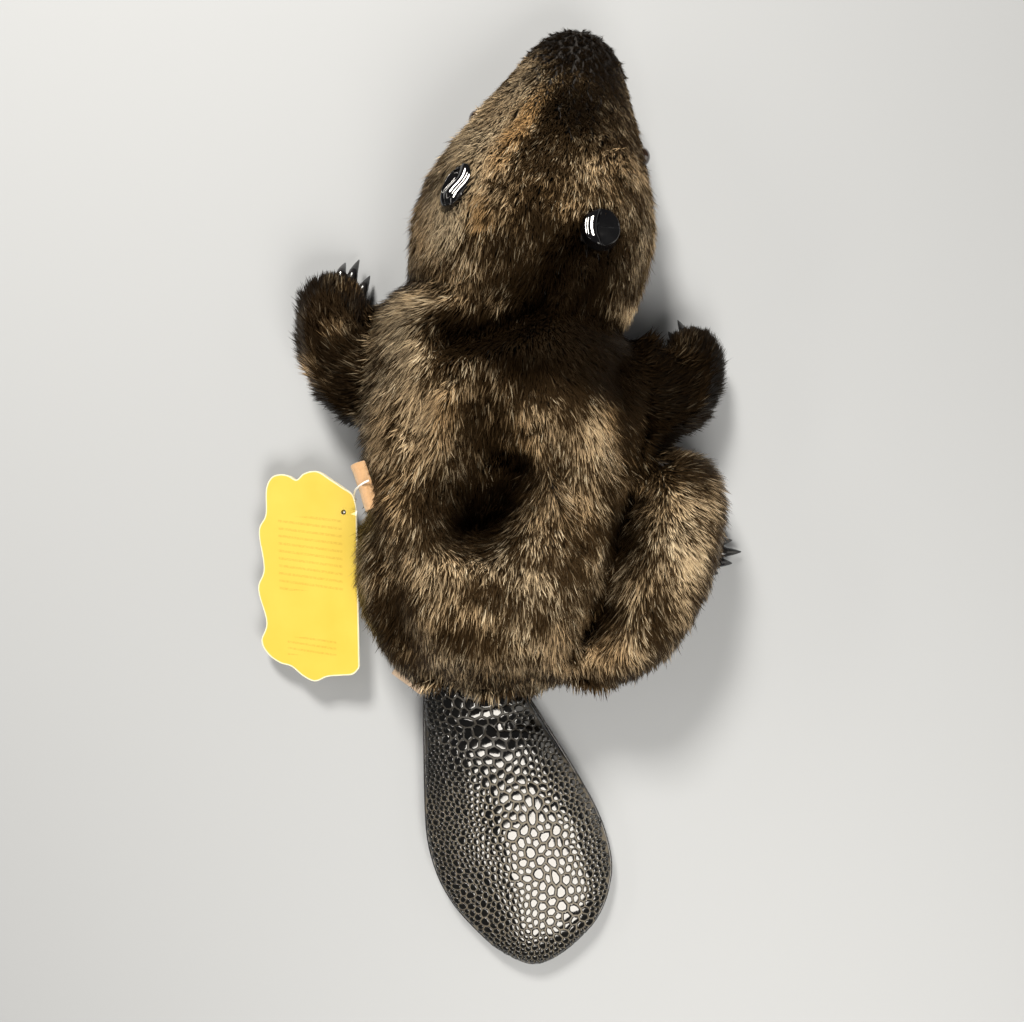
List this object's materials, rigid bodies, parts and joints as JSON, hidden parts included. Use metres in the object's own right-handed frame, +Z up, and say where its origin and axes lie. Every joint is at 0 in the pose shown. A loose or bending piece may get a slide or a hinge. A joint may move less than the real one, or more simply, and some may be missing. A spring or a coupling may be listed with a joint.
{
  "type": "plush beaver hand puppet",
  "caption": "Plush beaver hand puppet lying flat on its belly: dark brown fur, cupped vinyl ears, vinyl claws, scaly paddle tail, folded hang tag and a lined glove pocket under the rump.",
  "frame": {"origin": "middle of the object's box, on the floor it lies on", "axes": "+Y along the body towards the nose, +X towards the puppet's own right side, +Z up from the floor"},
  "size_m": [0.2368, 0.443, 0.0838],
  "materials": {
    "fur": "long-pile plush fur, near black at the root, brown along the hair and tan at the frosted tips",
    "vinyl": "glossy black vinyl sheet",
    "tail_vinyl": "glossy black vinyl embossed with raised scales, taupe in the grooves",
    "eye": "polished dark brown plastic",
    "nose": "black pebbled vinyl, satin",
    "felt": "cream wool felt",
    "lining": "plain woven brown lining cloth",
    "satin": "tan woven satin ribbon, folded and sewn in",
    "card": "coated yellow card with bare white cut edges",
    "clear_plastic": "milky white nylon"
  },
  "bodies": {
    "root": {"trunk": "fur", "pocket_lining": "lining", "head": "fur", "eye_left": "eye", "eye_right": "eye", "nose": "nose", "incisors": "felt", "ear_left": "vinyl", "ear_right": "vinyl", "foreleg_left": "fur", "foreleg_right": "fur", "hindleg_left": "fur", "hindleg_right": "fur", "foreclaws_left": "vinyl", "foreclaws_right": "vinyl", "hindclaws_left": "vinyl", "hindclaws_right": "vinyl", "tail": "tail_vinyl", "side_label": "satin", "rump_label": "satin", "hang_tag": "card", "tag_fastener": "clear_plastic"}
  },
  "joints": []
}
